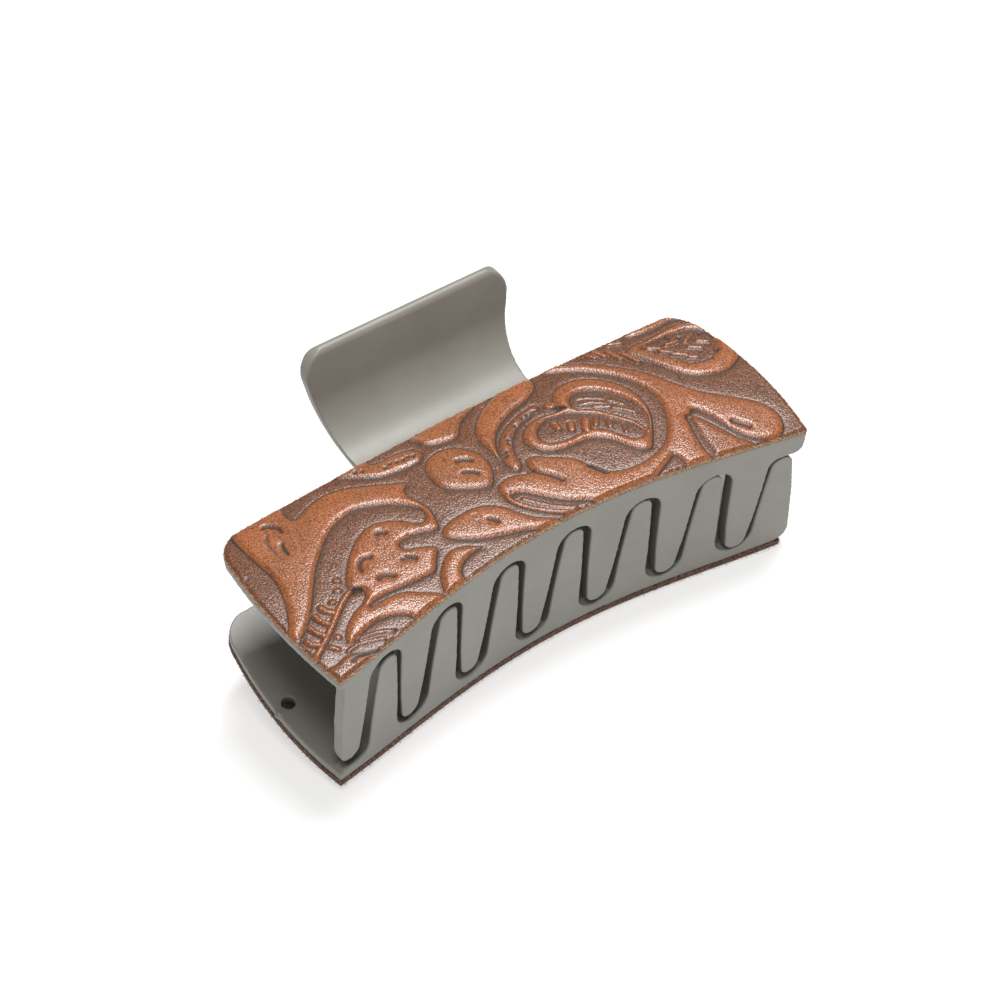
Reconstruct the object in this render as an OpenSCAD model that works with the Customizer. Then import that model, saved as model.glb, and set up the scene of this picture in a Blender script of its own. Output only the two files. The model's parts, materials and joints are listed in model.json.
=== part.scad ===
// Claw hair clip of two toothed plastic jaws, each faced with a tooled leather panel.
// The clip lies on its lower leather panel and the tip of its lower finger tab.

/* [Jaw plate] */
// Length of each jaw plate at its front corners
plate_l = 105; // [90:1:120]
// Depth of each jaw plate at its ends
plate_w = 39; // [36:0.5:42]
// Thickness of the jaw plate
plate_t = 1.8; // [1.5:0.1:2.2]
// Height of the plate's outer face above the middle plane at the front
front_h = 15; // [14.5:0.1:16]
// How far the outer face falls from the front edge to the back edge
back_fall = 2.85; // [2:0.05:3.5]
// Crown of the outer face across its depth
crown = 1.16; // [0.8:0.02:1.6]
// Rise of the outer face from its ends to the middle of its length
dome = 1.25; // [0.8:0.05:1.6]
// How far the front edge bows inwards at the middle, as a plain curve
front_bow = 4.1; // [3:0.1:5]
// Extra bow of the front edge, gathered at the middle
front_bow_mid = 2.95; // [2:0.05:3.5]
// How far the back edge bows outwards
back_bow = 1.15; // [0.5:0.05:1.6]
// How far each end bulges outwards
end_bow = 2; // [1:0.1:2.5]
// Radius of the back corners
back_corner_r = 6; // [4:0.5:8]
// Radius of the small hole through the plate near one end
hole_r = 1.3; // [1:0.1:1.6]
// Distance of the small hole from the middle of the length
hole_x = 51.5; // [50:0.5:52]
// Distance of the small hole in front of the middle of the plate
hole_front = 1; // [0:0.5:2]
// Radius of the lower jaw's worn front right corner, seen from the front
worn_r = 2.5; // [2:0.5:4]

/* [Front wall and teeth, upper jaw then lower jaw] */
// Thickness of the front wall and its teeth
wall_t = 2.6; // [2.2:0.1:3]
// Distance from tooth to tooth
tooth_pitch = [15.15, 14.95]; // [14.9:0.05:15.2]
// Half the width of a tooth at its middle height
tooth_half = [3.22, 2.95]; // [2.8:0.01:3.3]
// How much a tooth's half width shrinks for each millimetre towards the tip
tooth_taper = 0.072; // [0.05:0.002:0.08]
// How far a tooth's half width falls short of that straight taper, for each millimetre squared
tooth_waist = 0.0018; // [0.001:0.0002:0.0024]
// Distance of a middle tooth's tip from the middle plane
tip_h = [12.8, 11.6]; // [11.2:0.1:12.8]
// How much shorter the teeth would be at the very ends
tip_rise = [1.2, 0.6]; // [0.5:0.1:1.5]
// Distance of the end tooth's tip from the middle plane
end_tip_h = [11.4, 10.5]; // [10:0.1:11.4]
// Height of the middle arches between the teeth, from the middle plane
arch_h = [12.25, 14.3]; // [12.25:0.05:14.3]
// How much lower the arches would be at the very ends
arch_rise = [0.5, 2.2]; // [0.3:0.1:2.2]
// Height of the last arch, which runs out of the end
end_arch_h = [11.4, 13]; // [11.3:0.05:13]
// Skew of the row of teeth against the hinge, in degrees
row_skew = [1.8, 1.2]; // [0:0.1:1.8]
// Distance of the end tooth's outer side from the middle of the length
end_side = [51.9, 52.3]; // [51.5:0.1:52.3]
// How much further out that side goes for each millimetre towards the plate
end_flare = [0, 0.105]; // [0:0.005:0.11]
// Roll of the plate against the hinge, in degrees
plate_roll = [0, 0.86]; // [0:0.02:0.9]
// Distance of the plate's middle from the middle of the hinge, towards its end tooth
plate_shift = [0, 0.7]; // [0:0.1:0.8]

/* [Finger tab] */
// Height of the tab's level root above the middle plane, at the middle of its thickness
tab_z = 11.4; // [11.2:0.05:11.5]
// Distance from the plate's back edge to where the tab starts to bend
tab_level = 0.8; // [0.6:0.1:1.2]
// Width of the finger tab at its tip
tab_tip_w = 45.6; // [40:0.2:48]
// Width of the finger tab where it leaves the plate
tab_root_w = 38.8; // [36:0.2:46]
// How the tab widens from root to tip, 1 for straight sides and less where it widens early
tab_spread = 0.87; // [0.7:0.01:1]
// Thickness of the finger tab
tab_t = 2.3; // [2:0.1:2.6]
// Radius that the tab bends through, at the middle of its thickness
tab_bend_r = 12.9; // [12:0.1:15]
// Angle that the tab bends through
tab_bend = 76; // [75:1:85]
// Straight length between the bend and the centre of the round tip
tab_straight = 8.5; // [4:0.05:9]
// Radius of the tab's two tip corners
tab_corner_r = 5.6; // [2:0.1:6]
// Skew of the tab against the hinge, in degrees, upper jaw then lower jaw
tab_skew = [0.75, 0]; // [0:0.05:1]
// Distance of the tab's middle from the middle of the hinge, away from the small hole
tab_shift = [0.95, 0]; // [0:0.05:1]

/* [Hinge] */
// Distance of the hinge pin behind the middle of the plate
hinge_y = 16.5; // [16:0.1:17]
// Radius of the hinge pin
pin_r = 1.1; // [1:0.05:1.3]
// Running clearance between the pin and its bores
pin_play = 0.05; // [0.03:0.01:0.08]
// Thickness of each hinge ear
ear_t = 2.4; // [2:0.1:2.6]
// Radius of an ear around the pin
ear_r = 4; // [3.5:0.1:4.5]
// Gap between two neighbouring ears
ear_gap = 0.2; // [0.15:0.05:0.3]
// Half the space left for the spring between the inner ears
spring_room = 5.8; // [5.5:0.1:6.5]

/* [Spring] */
// Diameter of the spring wire
wire_d = 1.2; // [1:0.1:1.3]
// Radius of the coil at the middle of the wire
coil_r = 3.6; // [3.2:0.1:3.8]
// Advance of the coil for each turn
coil_pitch = 1.6; // [1.5:0.05:1.7]
// Whole turns of the coil besides the part between the legs
coil_turns = 4; // [3:1:4]
// How far behind the middle of the plate each leg of the spring ends
leg_y = 27.5; // [26.5:0.5:27.5]
// Height of a leg's end above or below the middle plane
leg_z = 10.7; // [10.5:0.05:10.75]

/* [Leather] */
// Thickness of the leather panels, upper then lower
leather_t = [1.4, 1.6]; // [1.2:0.1:1.8]
// Gap left for the glue between plate and leather
glue_gap = 0.05; // [0.04:0.01:0.1]

/* [Hidden] */
$fn = 64;

// Places of the jaws in the lists above
UPPER = 0;
LOWER = 1;

half_l = plate_l / 2;
half_w = plate_w / 2;

// Steps along the curved edges and across the crown
edge_steps = 36;
end_steps = 10;
crown_steps = 10;

// 1 at the middle of the length, 0 at the plate's ends
function mid(x) = 1 - pow(x / half_l, 2);
function front_y(x) = -half_w + front_bow * mid(x) + front_bow_mid * pow(mid(x), 2);
function back_y(x) = half_w + back_bow * mid(x);
function end_x(y) = half_l + end_bow * (1 - pow(y / half_w, 2));
// Points of an arc round c, from one angle to another
function turn(c, r, from, to, steps) =
    [for (i = [0:steps]) let (a = from + (to - from) * i / steps) [c[0] + r * cos(a), c[1] + r * sin(a)]];
// Height of the plate's outer face at the plate's ends
function skin_z(y) = front_h - back_fall * (y + half_w) / plate_w + crown * (1 - pow(y / half_w, 2));
// Height of the middle of the plate's thickness near the middle of its length
function core_z(y) = skin_z(y) + dome - plate_t / 2;

// The plate seen from above, from its front left corner round
corner_y = back_y(half_l - back_corner_r) - back_corner_r;
corner_x = end_x(corner_y) - back_corner_r;
end_run = corner_y + half_w;
plate_outline = concat(
    [for (i = [0:edge_steps]) let (x = -half_l + plate_l * i / edge_steps) [x, front_y(x)]],
    [for (i = [1:end_steps]) let (y = -half_w + end_run * i / end_steps) [end_x(y), y]],
    turn([corner_x, corner_y], back_corner_r, 10, 80, 7),
    [for (i = [0:edge_steps]) let (x = corner_x * (1 - 2 * i / edge_steps)) [x, back_y(x)]],
    turn([-corner_x, corner_y], back_corner_r, 100, 170, 7),
    [for (i = [end_steps:-1:1]) let (y = -half_w + end_run * i / end_steps) [-end_x(y), y]]
);

// The lengthwise dome is an arc round a distant line behind the plate
dome_r = (half_l * half_l + dome * dome) / (2 * dome);
dome_axis_z = dome - dome_r;
dome_arc = 6.2;
dome_fn = 1080;

// The hinge ears, an outer one on the right and an inner one on the left of the upper jaw
inner_ear_x = spring_room;
outer_ear_x = spring_room + ear_t + ear_gap;
pin_overhang = 0.4;
pin_l = 2 * (outer_ear_x + ear_t + pin_overhang);

// The finger tab's section: level root, bend, straight end, round tip
tab_y = back_y(0) + tab_level;
bend_z = tab_z + tab_bend_r;
bend_end = [tab_y + tab_bend_r * sin(tab_bend), bend_z - tab_bend_r * cos(tab_bend)];
tip = bend_end + tab_straight * [cos(tab_bend), sin(tab_bend)];
tab_top = tip[1] + tab_t / 2;
tab_root_l = 5;

// Where each spring leg leaves the coil on its way to its tab
leg_reach = norm([leg_y - hinge_y, leg_z]);
leg_angle = atan2(leg_z, leg_y - hinge_y) + acos(coil_r / leg_reach);
coil_sweep = 360 * (coil_turns + 1) - 2 * leg_angle;
coil_half = coil_pitch * coil_sweep / 360 / 2;
coil_steps = 70;
wire_sides = 8;

// The clip lies on the lowest points of its lower panel and on the lower tab's round tip
function panel_h(side) = glue_gap + leather_t[side];
function lean(p) = let (d = tip - [p[0], p[1]], far = norm([d[0], tip[1] + p[1]]))
    atan2(tip[1] + p[1], d[0]) + asin(tab_t / 2 / far);
function panel_low(x) = skin_z(front_y(x)) + dome * mid(x) + panel_h(LOWER) - x * tan(plate_roll[LOWER]);
rest_edge = [for (x = [-half_l:1.5:half_l]) [front_y(x), -panel_low(x)]];
rest_tilt = min([for (p = rest_edge) lean(p)]);
rest_floor = -tip[1] * cos(rest_tilt) + tip[0] * sin(rest_tilt) - tab_t / 2;
rest_front = -half_w * cos(rest_tilt) - (skin_z(-half_w) + panel_h(UPPER)) * sin(rest_tilt);
rest_back = tip[0] * cos(rest_tilt) + tip[1] * sin(rest_tilt) + tab_t / 2;

// The clip as it lies, with the origin under the middle of its box
module at_rest() {
    translate([-plate_shift[LOWER] / 2, -(rest_front + rest_back) / 2, -rest_floor])
        rotate([rest_tilt, 0, 0]) children();
}

// The rings of the revolve start and end outside the plate's outline and keep off its corners
ring_before = 1.7;
ring_past = 2.7;
ring_front = -half_w - ring_before;
ring_back = half_w + ring_past;
// A layer that follows the plate's crown and dome, between two heights over its outer face
module skin_layer(side, low, high) {
    ys = [for (i = [0:crown_steps]) ring_front + (ring_back - ring_front) * i / crown_steps];
    section = concat(
        [for (y = ys) [skin_z(y) + dome + high - dome_axis_z, y]],
        [for (i = [crown_steps:-1:0]) [skin_z(ys[i]) + dome + low - dome_axis_z, ys[i]]]
    );
    translate([-plate_shift[side], 0, 0]) rotate([0, plate_roll[side], 0])
        translate([0, 0, dome_axis_z]) rotate([0, -90, -90]) rotate([0, 0, -dome_arc / 2])
            rotate_extrude(angle = dome_arc, $fn = dome_fn) polygon(section);
}

// Part of such a layer, cut to the plate's outline
module skin_part(side, low, high) {
    intersection() {
        skin_layer(side, low, high);
        translate([-plate_shift[side], 0, 0])
            linear_extrude(height = 3 * front_h, center = true) polygon(plate_outline);
    }
}

// Half the width of a tooth at a height, wider at the root above and narrower towards the tip
function tooth_w(side, z) = tooth_half[side] + tooth_taper * z - tooth_waist * z * z;
function tooth_x(side, n) = tooth_pitch[side] * (n - 1 / 4);
// How far towards an end of the row a place lies, on the same curve as the dome
function endward(x) = 1 - mid(x);

tip_r = 2.15;
flank_z = [4.5, 0, -4.5];
end_flank_z = [-4, 0, 4.5];
arch_foot_z = 9;
end_tip_r = 2.3;
end_arch_r = 2.5;
end_band_r = 1.8;
wall_foot = 18;
// How far the root band of the wall stays inside the plate's end, past the last arch
band_inset = 0.15;

// The end tooth has a straighter outer side and a shorter tip
function end_tooth(side) =
    let (z = end_tip_r - end_tip_h[side], right = tooth_x(side, -3) + tooth_w(side, z))
    concat(
        [[-end_side[side], 0]],
        turn([right - end_tip_r, z], end_tip_r, 180, 360, 8),
        [for (z = end_flank_z) [tooth_x(side, -3) + tooth_w(side, z), z]]
    );
function tooth(side, n) =
    let (x = tooth_x(side, n), low = tip_r - tip_h[side] + tip_rise[side] * endward(x))
    concat(
        [for (z = flank_z) [x - tooth_w(side, z), z]],
        turn([x, low], tip_r, 180, 360, 8),
        [for (i = [2:-1:0]) [x + tooth_w(side, flank_z[i]), flank_z[i]]]
    );
function arch(side, n) =
    let (
        x = tooth_x(side, n) + tooth_pitch[side] / 2,
        r = tooth_pitch[side] / 2 - tooth_w(side, arch_foot_z)
    )
    turn([x, arch_h[side] - arch_rise[side] * endward(x) - r], r, 180, 0, 10);
// The last arch, over the other jaw's end tooth, runs out of the end
function end_arch(side) =
    let (
        top = end_arch_h[side],
        x = tooth_x(side, 3) + tooth_w(side, top - end_arch_r),
        out = half_l - plate_shift[side] - band_inset
    )
    concat(
        turn([x + end_arch_r, top - end_arch_r], end_arch_r, 180, 90, 5),
        turn([out - end_band_r, top + end_band_r], end_band_r, 270, 360, 5),
        [[out, wall_foot]]
    );

// The upper row seen from the front, in x and z: root band, arches and teeth that point down
function row_outline(side) = concat(
    [[-end_side[side] - end_flare[side] * wall_foot, wall_foot]],
    end_tooth(side),
    [for (n = [-2:3]) each concat(arch(side, n - 1), tooth(side, n))],
    end_arch(side)
);

// The front wall with its teeth, as the upper jaw has it
module front_wall(side) {
    set_back = 0.05;
    below_skin = 0.1;
    past_end = 1;
    xs = [for (i = [0:edge_steps]) (half_l + past_end) * (2 * i / edge_steps - 1)];
    intersection() {
        rotate([90, 0, 0]) linear_extrude(height = 2 * plate_w, center = true)
            rotate(-row_skew[side]) polygon(row_outline(side));
        translate([-plate_shift[side], 0, 0]) linear_extrude(height = 3 * front_h, center = true)
            polygon(concat(
                [for (x = xs) [x, front_y(x) + set_back]],
                [for (i = [edge_steps:-1:0]) [xs[i], front_y(xs[i]) + wall_t]]
            ));
        skin_layer(side, -2 * front_h, -below_skin);
    }
}

// The tab's section in y and z, from the foot of its root round the outside of the bend
tab_section = let (c = [tab_y, bend_z], out = tab_bend_r + tab_t / 2, in = tab_bend_r - tab_t / 2)
    concat(
        [[tab_y - tab_root_l, bend_z - out]],
        turn(c, out, -90, tab_bend - 90, 16),
        turn(tip, tab_t / 2, tab_bend - 90, tab_bend + 90, 8),
        turn(c, in, tab_bend - 90, -90, 16),
        [[tab_y - tab_root_l, bend_z - in]]
    );

// The tab seen from behind, in x and z, wider at its tip and with round corners
tab_clear = 0.2;
tab_steps = 6;
tab_foot = tab_z - tab_t / 2;
corner_z = tab_top + tab_clear - tab_corner_r;
// Half the tab's width at a share of the way from its foot to its corners
function tab_half(t) = (tab_root_w + (tab_tip_w - tab_root_w) * pow(t, tab_spread)) / 2;
tab_outline = let (
        side = tab_tip_w / 2 - tab_corner_r,
        rising = [for (i = [0:tab_steps - 1]) let (t = i / tab_steps) [tab_half(t), tab_foot + (corner_z - tab_foot) * t]]
    )
    concat(
        [[-tab_root_w / 2, 0], [tab_root_w / 2, 0]],
        rising,
        turn([side, corner_z], tab_corner_r, 0, 90, 8),
        turn([-side, corner_z], tab_corner_r, 90, 180, 8),
        [for (i = [tab_steps - 1:-1:0]) [-rising[i][0], rising[i][1]]]
    );

// The tab turns with its skew about the middle of its tip
module finger_tab(side) {
    translate([-tab_shift[side], 0, tip[1]]) rotate([0, tab_skew[side], 0]) translate([0, 0, -tip[1]])
        intersection() {
            rotate([90, 0, 90]) linear_extrude(height = 2 * tab_tip_w, center = true) polygon(tab_section);
            rotate([90, 0, 0]) linear_extrude(height = 6 * half_w, center = true) polygon(tab_outline);
        }
}

// A hinge ear that hangs from the plate, with its near face at x
module ear(x) {
    translate([x, 0, 0]) rotate([90, 0, 90]) linear_extrude(height = ear_t) {
        translate([hinge_y, 0]) circle(ear_r);
        polygon([
            [hinge_y - ear_r, 0], [hinge_y + ear_r, 0],
            [hinge_y + ear_r, core_z(hinge_y + ear_r)],
            [hinge_y - 2 * ear_r, core_z(hinge_y - 2 * ear_r)]
        ]);
    }
}

module pin_bore() {
    translate([0, hinge_y, 0]) rotate([0, 90, 0]) cylinder(r = pin_r + pin_play, h = plate_w, center = true);
}

// One jaw as the upper one lies, with its teeth down
module jaw(side) {
    difference() {
        union() {
            skin_part(side, -plate_t, 0);
            front_wall(side);
            finger_tab(side);
            ear(outer_ear_x);
            ear(-inner_ear_x - ear_t);
        }
        pin_bore();
        translate([hole_x - plate_shift[side], -hole_front, 0]) cylinder(r = hole_r, h = 2 * front_h);
    }
}

// What the worn corner loses, slanting out of the plate's end behind the front edge
module worn_corner(side) {
    slant = 30;
    run = 30;
    past = 3;
    translate([-plate_shift[side], 0, 0]) rotate([0, plate_roll[side], 0])
        translate([-half_l, -half_w, skin_z(-half_w)]) rotate([90, 0, slant])
            linear_extrude(height = run, center = true) polygon(concat(
                [[-past, past], [-past, -worn_r]],
                turn([worn_r, -worn_r], worn_r, 180, 90, 8),
                [[worn_r, past]]
            ));
}

module panel(side) {
    skin_part(side, glue_gap, panel_h(side));
}

module upper_jaw() {
    color("#93918a") at_rest() jaw(UPPER);
}

module lower_jaw() {
    color("#8b8982") at_rest() rotate([0, 180, 0]) difference() {
        jaw(LOWER);
        worn_corner(LOWER);
    }
}

module upper_leather() {
    color("#a8683f") at_rest() panel(UPPER);
}

module lower_leather() {
    color("#7c4a2f") at_rest() rotate([0, 180, 0]) panel(LOWER);
}

module hinge_pin() {
    color("#b9bcc0") at_rest() translate([0, hinge_y, 0]) rotate([0, 90, 0])
        cylinder(r = pin_r, h = pin_l, center = true);
}

// A round wire through stations of [x, y, z, angle of the outward side]
module wire(stations) {
    last = len(stations) - 1;
    points = [for (s = stations) for (j = [0:wire_sides - 1])
        let (a = 360 * j / wire_sides, out = wire_d / 2 * cos(a), side = wire_d / 2 * sin(a))
        [s[0] + side, s[1] + out * cos(s[3]), s[2] + out * sin(s[3])]];
    walls = [for (i = [0:last - 1]) for (j = [0:wire_sides - 1])
        let (a = i * wire_sides + j, b = i * wire_sides + (j + 1) % wire_sides)
        [a, b, b + wire_sides, a + wire_sides]];
    first_cap = [for (j = [wire_sides - 1:-1:0]) j];
    last_cap = [for (j = [0:wire_sides - 1]) last * wire_sides + j];
    polyhedron(points, concat(walls, [first_cap, last_cap]), convexity = 6);
}

module spring() {
    stations = concat(
        [[coil_half, leg_y, leg_z, leg_angle]],
        [for (i = [0:coil_steps]) let (a = leg_angle + coil_sweep * i / coil_steps)
            [coil_half * (1 - 2 * i / coil_steps), hinge_y + coil_r * cos(a), coil_r * sin(a), a]],
        [[-coil_half, leg_y, -leg_z, leg_angle + coil_sweep]]
    );
    color("#c4c7ca") at_rest() wire(stations);
}

lower_jaw();
upper_jaw();
lower_leather();
upper_leather();
hinge_pin();
spring();
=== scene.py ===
import math

import bmesh
import bpy
import numpy as np
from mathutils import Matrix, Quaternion, Vector, noise
from mathutils.geometry import delaunay_2d_cdt
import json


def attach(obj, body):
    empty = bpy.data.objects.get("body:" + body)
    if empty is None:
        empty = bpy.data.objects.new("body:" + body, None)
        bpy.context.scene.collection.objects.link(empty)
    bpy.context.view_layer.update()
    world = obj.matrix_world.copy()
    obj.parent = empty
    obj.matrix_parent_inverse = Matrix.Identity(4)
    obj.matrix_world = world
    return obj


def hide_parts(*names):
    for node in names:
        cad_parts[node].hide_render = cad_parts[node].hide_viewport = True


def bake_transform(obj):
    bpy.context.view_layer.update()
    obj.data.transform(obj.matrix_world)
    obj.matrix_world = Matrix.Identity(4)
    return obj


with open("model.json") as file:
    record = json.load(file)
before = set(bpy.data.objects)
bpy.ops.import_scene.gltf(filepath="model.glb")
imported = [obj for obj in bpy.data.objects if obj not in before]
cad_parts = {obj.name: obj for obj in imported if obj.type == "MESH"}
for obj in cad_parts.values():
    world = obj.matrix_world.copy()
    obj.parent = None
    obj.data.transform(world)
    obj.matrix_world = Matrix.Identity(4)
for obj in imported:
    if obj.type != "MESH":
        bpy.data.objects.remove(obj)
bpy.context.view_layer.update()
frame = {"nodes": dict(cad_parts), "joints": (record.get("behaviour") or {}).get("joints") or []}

MM = 0.001


def add_object(name, data):
    """A new object in the scene, with the given mesh, light or camera."""
    made = bpy.data.objects.new(name, data)
    bpy.context.scene.collection.objects.link(made)
    return made


def add_values(mesh, label, values):
    """Gives each point of the mesh a number under the label."""
    mesh.attributes.new(label, "FLOAT", "POINT").data.foreach_set("value", values.astype(np.float32))


def read_vectors(items, label):
    """The vectors under the label, one row for each item of a mesh."""
    values = np.zeros(len(items) * 3)
    items.foreach_get(label, values)
    return values.reshape(-1, 3)


def move_points(mesh, co):
    mesh.vertices.foreach_set("co", co.ravel())
    mesh.update()


# Plate and placing

# Sizes of a jaw plate in millimetres, with x along the clip, y towards the finger tabs
# and z away from the middle plane between the jaws.
half_length = 52.5
half_depth = 19.5
front_height = 15.0
back_fall = 2.85
crown = 1.16
dome = 1.25
front_bow = 4.1
front_bow_middle = 2.95
back_bow = 1.15
end_bow = 2.0
corner_radius = 6.0
glue_gap = 0.05

# How the clip lies: its lean, and where its hinge ends up
lean = math.radians(13.343)
hinge_depth = 16.5
joint = frame["joints"][0]
hinge_x, hinge_y, hinge_z = (v / MM for v in joint["pos_m"])

# The lower plate's own shift and roll against the hinge
lower_shift = 0.7
lower_roll = math.radians(0.86)


def middle(x):
    """1 at the middle of the plate's length, 0 at its ends."""
    return np.clip(1 - (x / half_length) ** 2, 0, None)


def front_edge(x):
    return -half_depth + front_bow * middle(x) + front_bow_middle * middle(x) ** 2


def back_edge(x):
    return half_depth + back_bow * middle(x)


def end_edge(y):
    return half_length + end_bow * (1 - (y / half_depth) ** 2)


def skin_height(x, y):
    """Height of the plate's outer face."""
    fall = back_fall * (y + half_depth) / (2 * half_depth)
    across = front_height - fall + crown * (1 - (y / half_depth) ** 2)
    return across + dome * (1 - (x / half_length) ** 2)


def lay_down(x, y, z):
    """Points of the clip in its own millimetres, turned and placed as the clip lies, in metres."""
    c, s = math.cos(lean), math.sin(lean)
    back = y - hinge_depth
    return np.stack([x + hinge_x, back * c - z * s + hinge_y, back * s + z * c + hinge_z], -1) * MM


def upper_side(x, y, z):
    return lay_down(x, y, z)


def lower_side(x, y, z):
    return lay_down(lower_shift - x, y, x * math.tan(lower_roll) - z)


# Tooled ornament

# Closed outlines in millimetres on the plate, charted one by one: the shapes that stand up from the ground
leaf_scroll = [
    (-48.9, 20.8), (-49.9, 18.4), (-50.0, 14.5), (-49.8, 10), (-49.5, 5.5), (-50.4, 1.5), (-51.8, -2),
    (-53.9, -5.6), (-55.8, -6.6), (-56.2, -9.6), (-53.6, -8.8), (-50, -6.1), (-47.2, -3), (-45, -0.2),
    (-42.6, 2.8), (-40, 5.3), (-37, 7.9), (-34, 9.8), (-31.2, 10.6), (-28.8, 10.8), (-26, 9.8),
    (-23.5, 8.4), (-21.2, 6.4), (-19.7, 4.6), (-19.2, 3.2), (-19.7, 1.7), (-20.9, 1.1), (-22.2, 1.9),
    (-24, 3.9), (-26.2, 5.3), (-29, 6), (-32, 5), (-34.6, 3.2), (-37.2, 0.8), (-39.6, -2.2),
    (-40.3, -4.2), (-38.8, -5.4), (-38.5, -6.5), (-40, -8), (-42.5, -9), (-45, -10.6), (-46.6, -12.4),
    (-47.1, -13.8), (-46.3, -14.3), (-44.5, -13.7), (-42, -13.1), (-39.5, -13), (-37.2, -13.6),
    (-35.3, -14.8), (-33.8, -17.2), (-30, -17.2), (-27.2, -16.2), (-27.3, -14.7), (-28.7, -13.2),
    (-30.8, -11.7), (-32.2, -10.6), (-34, -9.9), (-37, -9.6), (-39.4, -9.7), (-38.8, -9.1), (-36, -8.9),
    (-33, -9.2), (-30, -9.6), (-27, -9.7), (-25.4, -9.4), (-23.8, -7.4), (-22.3, -5.3), (-24.4, -3.6),
    (-26.8, -2.5), (-27.4, -1.6), (-27, -0.7), (-25, -0.5), (-22.5, -1.1), (-20.4, -1.9), (-19.1, -1.6),
    (-18.4, 0.4), (-17.9, 2.8), (-18.4, 5.6), (-19.1, 8), (-18.7, 9.6), (-17.4, 10.8), (-19, 12.1),
    (-22, 13.9), (-25, 15.7), (-28, 17.1), (-31.5, 17.6), (-35, 16.9), (-38.4, 15.7), (-39.2, 17.4),
    (-39.6, 20.8),
]
small_arch = [
    (-27, -15.8), (-26.6, -13), (-25.3, -10.6), (-23.2, -8.6), (-20.8, -7.3), (-18.6, -7.6),
    (-16.8, -8.7), (-15.4, -9.9), (-17.5, -10.1), (-19.7, -10.6), (-21.4, -11.8), (-22.2, -13.3),
    (-22.4, -15.6),
]
front_leaf = [
    (-19.7, -3.6), (-18.6, -2.3), (-15.8, -1.5), (-12.5, -1.4), (-9.8, -2), (-7.6, -3.6), (-6.1, -5.7),
    (-4.9, -7.9), (-3.2, -9.9), (-1, -11.6), (1.2, -14.2), (-2.8, -14.2), (-4.6, -12.5), (-7.2, -11.3),
    (-10, -10.3), (-13, -9.3), (-16, -7.8), (-18.4, -6), (-19.6, -4.8),
]
berry = [
    (-13.5, 8.2), (-13, 11), (-11.2, 13.3), (-8.4, 14.1), (-5.6, 13.4), (-3.7, 11.7), (-2.5, 9.3),
    (-2.4, 6.6), (-3.1, 3.9), (-4.4, 1.9), (-5.6, 1), (-7.6, 1.5), (-10, 3), (-12.2, 4.7), (-13.3, 6.3),
]
back_scallop = [
    (-10, 22), (-9.6, 18.3), (-8.7, 16.7), (-6.6, 15.6), (-4.2, 15), (-2.5, 15.3), (-0.9, 17.1),
    (0.9, 18.5), (3.2, 19.5), (5.2, 20.7), (5.4, 22),
]
beaded_strip = [
    (-27, 20.6), (-26, 19.2), (-24, 17.6), (-22, 16), (-20, 14.9), (-17, 14.2), (-14, 13.9),
    (-11.8, 14.1), (-10.6, 15.3), (-10.9, 17), (-12.4, 18.1), (-15, 18.5), (-17.8, 18.5), (-19.6, 19.2),
    (-20.4, 21.4), (-26, 21.6),
]
back_crescent = [
    (-0.4, 5.2), (-0.5, 9), (-0.2, 12.6), (1.4, 15.4), (4, 17.8), (6.9, 19.4), (9.6, 20.7), (9.8, 22),
    (17, 22), (17.6, 19.7), (17.2, 18), (15.6, 16.6), (13, 15.4), (10, 14.8), (7, 13.7), (4.4, 12.3),
    (2.3, 10.3), (0.9, 8), (0.1, 5.6),
]
bead_band = [
    (-0.1, 2), (-0.2, 4.4), (0.6, 6.8), (2.1, 9), (4.4, 11), (7.4, 12.5), (10.6, 13.4), (13.4, 13.7),
    (13.9, 12.7), (11.6, 11.8), (8.6, 10.9), (6, 9.4), (4, 7.3), (2.8, 4.9), (2.3, 2.4), (1, 1.2),
]
flower_loop = [
    (5.9, 5.2), (6.2, 7.2), (7.8, 9), (10.2, 10.1), (13, 10.2), (15.6, 9.6), (17, 10), (17, 12),
    (18.4, 14.1), (21, 15.1), (24, 14.8), (26.6, 13.3), (28.9, 10.9), (30.4, 8), (31, 5), (30.8, 2),
    (29.9, -0.8), (28.3, -3.4), (26.4, -5.9), (24.6, -7.9), (22.9, -7.7), (21.3, -5.9), (20.1, -3.6),
    (18.9, -1.7), (17.2, -0.3), (14.8, 0.4), (11.8, 0.6), (9, 1.4), (7, 3),
]
flower_right = [
    (19, 9.2), (19.9, 10.9), (21.6, 11.4), (23.8, 10.9), (25.6, 9.5), (27.1, 7.4), (28.3, 4.9),
    (28.9, 2.2), (28.9, -0.4), (28, -2.6), (26.9, -3.6), (26.5, -2), (26, -0.2), (25, 1.4), (23.6, 3.6),
    (22.2, 5.6), (20.6, 7), (19.3, 7.9),
]
flower_left = [
    (8.9, 5.2), (9.3, 6.8), (10.8, 8.2), (13, 8.8), (15.4, 8.4), (17.2, 7.9), (18.6, 6.9), (20, 5.7),
    (21.4, 4.4), (22.6, 2.6), (23.9, 0.6), (25, -0.9), (25.6, -2.6), (25.6, -4.4), (24.2, -4.6),
    (22.8, -3.8), (21.6, -1.8), (20.6, 0.2), (18.9, 1.8), (16.6, 2.4), (14, 2.4), (11.6, 2.8), (9.6, 3.8),
]
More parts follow.
